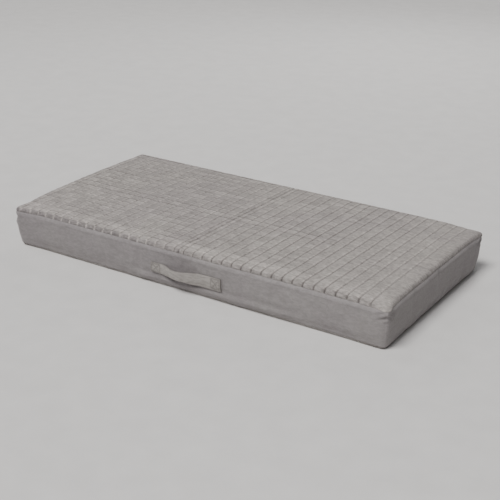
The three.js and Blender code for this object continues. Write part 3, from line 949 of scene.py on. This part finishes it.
def base_panel():
    columns = np.linspace(BASE_ROLL - HALF_LENGTH, HALF_LENGTH - BASE_ROLL, 123)
    rows = np.linspace(BASE_ROLL - HALF_DEPTH, HALF_DEPTH - BASE_ROLL, 59)
    steps = [(0, 0.0, 0.0, 0)]
    steps += [(1, float(base_round(z)), z, 0.5) for z in (0.15, 0.6, 1.4, 2.4, 3.4)]
    at_seam = float(base_round(BASE_SEAM))
    steps.append((1, at_seam + 0.9, BASE_SEAM - 0.1, 1))
    steps.append((1, at_seam + 3.0, BASE_SEAM + 0.2, 1))
    points, _, faces = blanket(columns, rows, steps)
    placed = shaped(points)
    placed[:, 2] = np.maximum(placed[:, 2], 0.05)
    base = make_mesh("base_cloth", placed, [face[::-1] for face in faces], BASE_SUEDE)
    thicken(base, CLOTH_THICK)
    return base


QUILT_NODES = ("quilt_face_fabric", "quilt_wadding", "quilt_backing_cloth")
top = quilted_top()
join_cover(top, "cover_suede", *QUILT_NODES, fill=0.7)
for side in ("front", "right", "left"):
    piece = panel(side + "_side_cloth", side, spaced(BASE_SEAM, SEAM, 3.2), (2.4, 2.6))
    join_cover(piece, "cover_suede", side + "_panel", fill=0.8)
for part, low, high in (("lower", BASE_SEAM, SLOT_BOTTOM), ("upper", SLOT_TOP, SEAM)):
    piece = panel(f"rear_{part}_cloth", "rear", spaced(low, high, 2.6), (2.4, 2.4))
    join_cover(piece, "cover_suede", f"rear_{part}_panel", fill=0.8)
join_cover(base_panel(), "cover_suede", "base_panel", fill=0.8)


def foam_slab():
    """The foam inside: the cover's own form, a little smaller, so that it fills it everywhere."""
    gap = 5.0
    inner = ROLL_RUN + gap
    columns = np.linspace(inner - HALF_LENGTH, HALF_LENGTH - inner, 70)
    rows = np.linspace(inner - HALF_DEPTH, HALF_DEPTH - inner, 34)
    top_level = box_mm("foam_core")[1][2]
    steps = [(0, gap, top_level, 0)]
    for turned in (0.2, 0.4, 0.6, 0.8, 1.0):
        angle = turned * math.pi / 2
        steps.append((math.sin(angle), gap, top_level - 9 * (1 - math.cos(angle)), turned))
    for z in (72, 58, 44, 30, 18, 10):
        steps.append((1, gap + float(base_round(z)), z, 1))
    steps.append((1, 9.0, 4.5, 0.6))
    points, faces = closed_slab(columns, rows, steps)
    points[:, 2] = np.maximum(points[:, 2], 2.0)
    return make_mesh("foam_slab", settle(points), faces, FOAM)


join_cover(foam_slab(), "foam", "foam_core", fill=1.0)


# ---------- stitches


def surface_tree(*pieces):
    """One search tree over the finished faces of some pieces, in millimetres."""
    points, faces = [], []
    depsgraph = bpy.context.evaluated_depsgraph_get()
    for piece in pieces:
        shown = piece.evaluated_get(depsgraph)
        start = len(points)
        points += [vertex.co / MM for vertex in shown.data.vertices]
        faces += [[start + i for i in face.vertices] for face in shown.data.polygons]
    return BVHTree.FromPolygons(points, faces)


def stitches_along(path, length, gap):
    """The ends of each stitch along a path of straight runs."""
    ends = []
    for first, last in zip(path, path[1:]):
        first, last = np.array(first, float), np.array(last, float)
        distance = np.linalg.norm(last - first)
        count = max(1, round(distance / (length + gap)))
        pitch = distance / count
        for number in range(count):
            start = (number + 0.5 * gap / pitch) / count
            end = (number + 1 - 0.5 * gap / pitch) / count
            ends.append((first + (last - first) * start, first + (last - first) * end))
    return ends


def lay_stitches(name, paths, sewing, ground, aim, stand=0.5):
    """A small thread spindle for every stitch of some paths, laid on the ground along aim.

    stand is the share of the thread's thickness that stands out of the cloth."""
    length, gap, radius = sewing
    aim = Vector(aim)
    up = -aim * radius
    points, faces = [], []
    stitches = [ends for path in paths for ends in stitches_along(path, length, gap)]
    for ends in stitches:
        first, last = (ground.ray_cast(Vector(end) - aim * 60, aim)[0] for end in ends)
        if first is None or last is None:
            continue
        side = (last - first).cross(aim).normalized() * radius
        start = len(points)
        sunk = up * (stand - 1)
        middle = (first + last) / 2 + up * stand
        points += [
            first + sunk,
            last + sunk,
            middle + side - up * 0.2,
            middle + up,
            middle - side - up * 0.2,
            middle - up,
        ]
        for a, b in ((2, 3), (3, 4), (4, 5), (5, 2)):
            faces.append((start, start + b, start + a))
            faces.append((start + 1, start + a, start + b))
    return make_mesh(name, np.array(points), faces, THREAD)


def quilting_paths():
    xs = np.linspace(8 - HALF_LENGTH, HALF_LENGTH - 8, 24)
    ys = np.linspace(4 - HALF_DEPTH, HALF_DEPTH - 4, 24)
    paths = [[(x + leaning(x, y), y, TOP) for y in ys] for x in LONG_LINES + [PINCH_LINE]]
    paths += [[(x, y, TOP) for x in xs] for y in CROSS_LINES if abs(y) < HALF_DEPTH - 17]
    return paths


DOWN, REARWARD, FORWARD = (0, 0, -1), (0, 1, 0), (0, -1, 0)
piece = lay_stitches("quilting_thread", quilting_paths(), QUILTING, surface_tree(top), DOWN)
join_cover(piece, "thread")


# ---------- the handle strap


STRAP_HALF_WIDTH = (SEWN_HIGH[2] - SEWN_LOW[2]) / 2
STRAP_MIDDLE = (SEWN_HIGH[2] + SEWN_LOW[2]) / 2
STRAP_THICK = SEWN_HIGH[1] - SEWN_LOW[1]
STRAP_FREE = (STRAP_HIGH[0] - STRAP_LOW[0]) / 2
STRAP_END = SEWN_HIGH[0] - STRAP_CENTRE
STRAP_BULGE = SEWN_LOW[1] - STRAP_LOW[1]
STRAP_DROOP = SEWN_LOW[2] - STRAP_LOW[2]
STRAP_TILT = 0.06  # how much further the upper edge stands out than the middle, as a share
STRAP_PEAK = -15.0  # where along the strap it stands out furthest


def strap_line(x, v):
    """A point on the strap's middle surface: x from its centre, v from -1 to 1 up its width.

    The fabric is drawn in across its width at the middle of the free span and to its left."""
    part = float(np.clip(x / STRAP_FREE, -1, 1))
    part -= STRAP_PEAK / STRAP_FREE * (1 - part * part)
    free = math.cos(math.pi / 2 * part) ** 2
    narrow = 1 - 0.2 * free - 0.2 * float(smoothstep(-x, -27, 60))
    y = (SEWN_LOW[1] + SEWN_HIGH[1]) / 2 - STRAP_BULGE * free * (1.15 + STRAP_TILT * v)
    z = STRAP_MIDDLE + v * STRAP_HALF_WIDTH * narrow + 0.3 * STRAP_DROOP * free
    return STRAP_CENTRE + x, y, z


def box_lines(sign):
    """The corners of the box of stitches on one sewn end, as places along and up the strap."""
    near, far = sign * (STRAP_FREE + 3.2), sign * (STRAP_END - 3)
    return [(near, -0.8), (far, -0.8), (far, 0.8), (near, 0.8)]


def stitch_dent(x, v, sign):
    """How near a place on a sewn end is to its stitching, from 0 to 1."""
    corners = [np.array((cx, cv * STRAP_HALF_WIDTH)) for cx, cv in box_lines(sign)]
    place = np.array((x, v * STRAP_HALF_WIDTH))
    nearest_line = 1e9
    for i, j in ((0, 1), (1, 2), (2, 3), (3, 0), (0, 2), (1, 3)):
        run = corners[j] - corners[i]
        share = float(np.clip((place - corners[i]) @ run / (run @ run), 0, 1))
        nearest_line = min(nearest_line, float(np.linalg.norm(place - corners[i] - run * share)))
    return float(bell(nearest_line, 0, 1.3))


def strap_half(name, sign):
    """Half of the strap, from its sewn end to the middle of its free span."""
    stations = np.concatenate(
        [np.linspace(STRAP_END, STRAP_FREE + 1, 28), np.linspace(STRAP_FREE, 0, 34)]
    )
    edge = np.linspace(-1, 1, 31)
    half_thick = STRAP_THICK * (0.32 + 0.18 * (1 - np.abs(edge) ** 10))
    ribbed = half_thick + 0.10 * np.cos(edge * 5 * math.pi)
    section = [(v, -depth) for v, depth in zip(edge, ribbed)]
    section += [(0.99 * v, depth) for v, depth in zip(edge[::-1], half_thick[::-1])]
    points, stitch_and_rim_shade = [], []
    for x in stations:
        for v, depth in section:
            place = strap_line(sign * x, v)
            dent = stitch_dent(sign * x, v, sign) if depth < 0 else 0.0
            points.append((place[0], place[1] + depth + 0.55 + 0.6 * dent, place[2]))
            # Painted shade around the stitching, along the rims and at the sewn end.
            at_rim = bell(1 - abs(v), 0, 0.07) + bell(STRAP_END - x, 0, 1.0)
            stitch_and_rim_shade.append(0.85 * dent + 0.8 * at_rim)
    faces = tube_faces(len(stations), len(section))
    if sign < 0:
        faces = [face[::-1] for face in faces]
    points = np.array(points)
    off_panel = smoothstep(-np.abs(points[:, 0] - STRAP_CENTRE), -70, -50)
    points[:, 1] += 0.6 * smooth_noise(points * (1, 0, 1), 24, 31) * off_panel
    piece = make_mesh(name, shaped(points), faces, STRAP_WEB)
    laid_out = piece.data.attributes.new("laid_out", "FLOAT_VECTOR", "POINT")
    laid_out.data.foreach_set("vector", (points * MM).ravel().astype(np.float32))
    add_shade(piece, "crease_shade", stitch_and_rim_shade)
    sharpen_ends(piece)
    return piece


def strap_stitches(name, sign, ground):
    """A crossed box of stitches on one sewn end of the strap."""
    a, b, c, d = (strap_line(x, v) for x, v in box_lines(sign))
    return lay_stitches(name, [(a, b, c, d, a, c), (d, b)], BOX_STITCH, ground, REARWARD, 0.8)


def edge_stitches(name, sign, ground):
    """A row of stitches along both edges of one half of the free span."""
    xs = sign * np.linspace(2, STRAP_FREE - 1, 12)
    paths = [[strap_line(x, v) for x in xs] for v in (-0.84, 0.84)]
    return lay_stitches(name, paths, EDGE_STITCH, ground, REARWARD)


for side, sign in (("left", -1), ("right", 1)):
    strap = strap_half(f"strap_{side}", sign)
    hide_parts(f"handle_{side}_sewn_end")
    if side == "right":
        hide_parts("handle_free_span")
    on_strap = surface_tree(strap)
    box_cross = strap_stitches(f"strap_{side}_box_stitch", sign, on_strap)
    join_cover(box_cross, "thread", f"handle_{side}_box_stitch")
    edging = edge_stitches(f"strap_{side}_edge_stitch", sign, on_strap)
    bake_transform(strap)
    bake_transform(edging)


# ---------- the zip along the rear


def coil(name, node, sign):
    """A nylon coil: one long helix, flattened, that meets its partner's turns."""
    low, high = box_mm(node)
    turn_pitch, wire = 1.6, 0.36
    around, ring = 8, 5
    turns = round((high[0] - low[0]) / turn_pitch)
    middle = (low + high) / 2
    reach = (high - low) / 2 - wire
    count = turns * around + 1
    angle = np.arange(count) / around * 2 * math.pi
    x = low[0] + wire + (high[0] - low[0] - 2 * wire) * np.arange(count) / (count - 1)
    path = np.column_stack(
        [x, middle[1] + reach[1] * np.sin(angle), middle[2] + sign * reach[2] * np.cos(angle)]
    )
    ahead = np.gradient(path, axis=0)
    ahead /= np.linalg.norm(ahead, axis=1, keepdims=True)
    away = np.column_stack([np.zeros(count), np.sin(angle), sign * np.cos(angle)])
    beside = np.cross(ahead, away)
    points = []
    for number in range(ring):
        turn = number / ring * 2 * math.pi
        points.append(path + wire * (math.cos(turn) * away + math.sin(turn) * beside))
    points = np.stack(points, axis=1).reshape(-1, 3)
    return make_mesh(name, points, tube_faces(count, ring), COIL)


def tape(name, node):
    """One of the zip's woven tapes, a strip that ripples very slightly and ends under its tabs."""
    _, high, x, z, faces = upright_strip(node, 190, 9)
    points = np.column_stack([x, np.full(len(x), high[1] - 0.05), z])
    points[:, 1] -= 0.12 * (1 + smooth_noise(points, 26, 41))
    points[:, 1] -= 1.1 * smoothstep(np.abs(x), 450, 460)
    piece = make_mesh(name, points, faces, TAPE)
    thicken(piece, 0.5)
    return piece


for level, sign in (("upper", 1), ("lower", -1)):
    piece = coil(f"{level}_coil", f"zip_{level}_coil", sign)
    join_cover(piece, "zip_coil", f"zip_{level}_coil")
    piece = tape(f"{level}_tape", f"zip_{level}_tape")
    join_cover(piece, "zip_tape", f"zip_{level}_tape")

for side, sign in (("left", 1), ("right", -1)):
    low, high = box_mm(f"zip_{side}_end_tab")
    start = min(abs(low[0]), abs(high[0])) / (side_length("rear") / 2)
    span = (start, 1) if sign > 0 else (-1, -start)
    heights = np.linspace(SLOT_BOTTOM - 0.6, SLOT_TOP + 0.6, 6)
    piece = panel(f"{side}_end_tab_cloth", "rear", heights, (0.8, 0.8), span, 3.0, 0.55)
    join_cover(piece, "cover_suede", f"zip_{side}_end_tab", fill=0.3)


def slot_topstitch():
    """A row of stitches in the rear panels, beside each folded edge of the zip's slot."""
    reach = side_length("rear") / 2 - CORNER
    xs = np.linspace(-reach, reach, 30)
    paths = [[(x, HALF_DEPTH, z) for x in xs] for z in (SLOT_BOTTOM - 3.2, SLOT_TOP + 3.2)]
    ground = surface_tree(*(bpy.data.objects[f"rear_{part}_cloth"] for part in ("lower", "upper")))
    return lay_stitches("slot_topstitch", paths, TOPSTITCH, ground, FORWARD, 0.6)


join_cover(slot_topstitch(), "thread")

# The zip's hard parts keep the shapes they have, with their edges eased, and so do the patches
# behind the strap's sewn ends.
STOPS = ["zip_upper_top_stop", "zip_lower_top_stop", "zip_bottom_stop"]
for name in STOPS + ["zip_slider_body", "zip_slider_bail", "zip_pull_tab"]:
    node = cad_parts[name]
    node.data.materials.clear()
    node.data.materials.append(METAL)
    ease = node.modifiers.new("Eased edges", "BEVEL")
    ease.width = 0.12 * MM
    ease.segments = 2
    ease.limit_method = "ANGLE"
    ease.angle_limit = math.radians(40)
for name in ("handle_left_inner_patch", "handle_right_inner_patch"):
    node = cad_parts[name]
    node.data.materials.clear()
    node.data.materials.append(LINING)


# ---------- the label


def blank_label():
    """A plain folded tab of satin, sewn in by its top edge and curling a little at the bottom."""
    low, high, x, z, faces = upright_strip("care_label", 15, 19)
    fall = 1 - (z - low[2]) / (high[2] - low[2])
    side = (x - low[0]) / (high[0] - low[0]) - 0.5
    y = high[1] + 1.1 * fall**2 + 0.9 * fall**2 * side + 0.7 * (side * 2) ** 2 * fall
    piece = make_mesh("blank_label", np.column_stack([x, y, z]), faces, RIBBON)
    thicken(piece, 0.4)
    return piece, (high[0] - low[0]) * MM, (high[2] - low[2]) * MM


label, label_width, label_length = blank_label()
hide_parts("care_label")
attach(label, "label")


# ---------- camera, floor and light


def place_camera():
    data = bpy.data.cameras.new("camera")
    data.lens = 79.27
    data.sensor_width = 36
    data.clip_start = 0.05
    camera = bpy.data.objects.new("camera", data)
    azimuth, elevation, roll = (math.radians(angle) for angle in (32.82, 23.25, 0.43))
    turn = Matrix.Rotation(azimuth, 4, "Z") @ Matrix.Rotation(math.pi / 2 - elevation, 4, "X")
    place = Matrix.Translation((1.3345, -2.0450, 1.0655))
    camera.matrix_world = place @ turn @ Matrix.Rotation(roll, 4, "Z")
    bpy.context.scene.collection.objects.link(camera)
    bpy.context.scene.camera = camera


def add_light(kind, name, place, size, power, color):
    """A soft light aimed at the cushion: size is metres across for AREA and radians for SUN."""
    data = bpy.data.lights.new(name, kind)
    data.energy = power
    data.color = color
    if kind == "SUN":
        data.angle = size
    else:
        data.shape = "DISK"
        data.size = size
    light = bpy.data.objects.new(name, data)
    light.location = place
    light.rotation_euler = (-Vector(place)).to_track_quat("-Z", "Y").to_euler()
    bpy.context.scene.collection.objects.link(light)


def pale_floor():
    surface = Surface("floor", Roughness=0.9)
    grain = surface.noise(60, 2)
    surface.color(
        surface.ramp(grain, 0.3, 0.7, (0.70, 0.69, 0.68, 1), (0.74, 0.73, 0.72, 1))
    )
    bpy.ops.mesh.primitive_plane_add(size=60)
    floor = bpy.context.object
    floor.name = "floor"
    floor.data.materials.append(surface.material)


place_camera()
pale_floor()
add_light("SUN", "key", (-0.35, -1.3, 2.4), math.radians(24), 2.8, (1.0, 0.985, 0.965))
add_light("AREA", "left", (-2.4, 0.1, 1.8), 1.4, 9, (1.0, 0.99, 0.98))
add_light("AREA", "front", (0.8, -1.7, 1.7), 0.9, 9, (1.0, 0.99, 0.99))
add_light("AREA", "rear", (-0.7, 2.4, 1.5), 1.4, 12, (1.0, 0.99, 0.98))
world = bpy.data.worlds.new("studio")
world.use_nodes = True
world.node_tree.nodes["Background"].inputs["Color"].default_value = (0.97, 0.97, 1.0, 1)
world.node_tree.nodes["Background"].inputs["Strength"].default_value = 0.15
bpy.context.scene.world = world
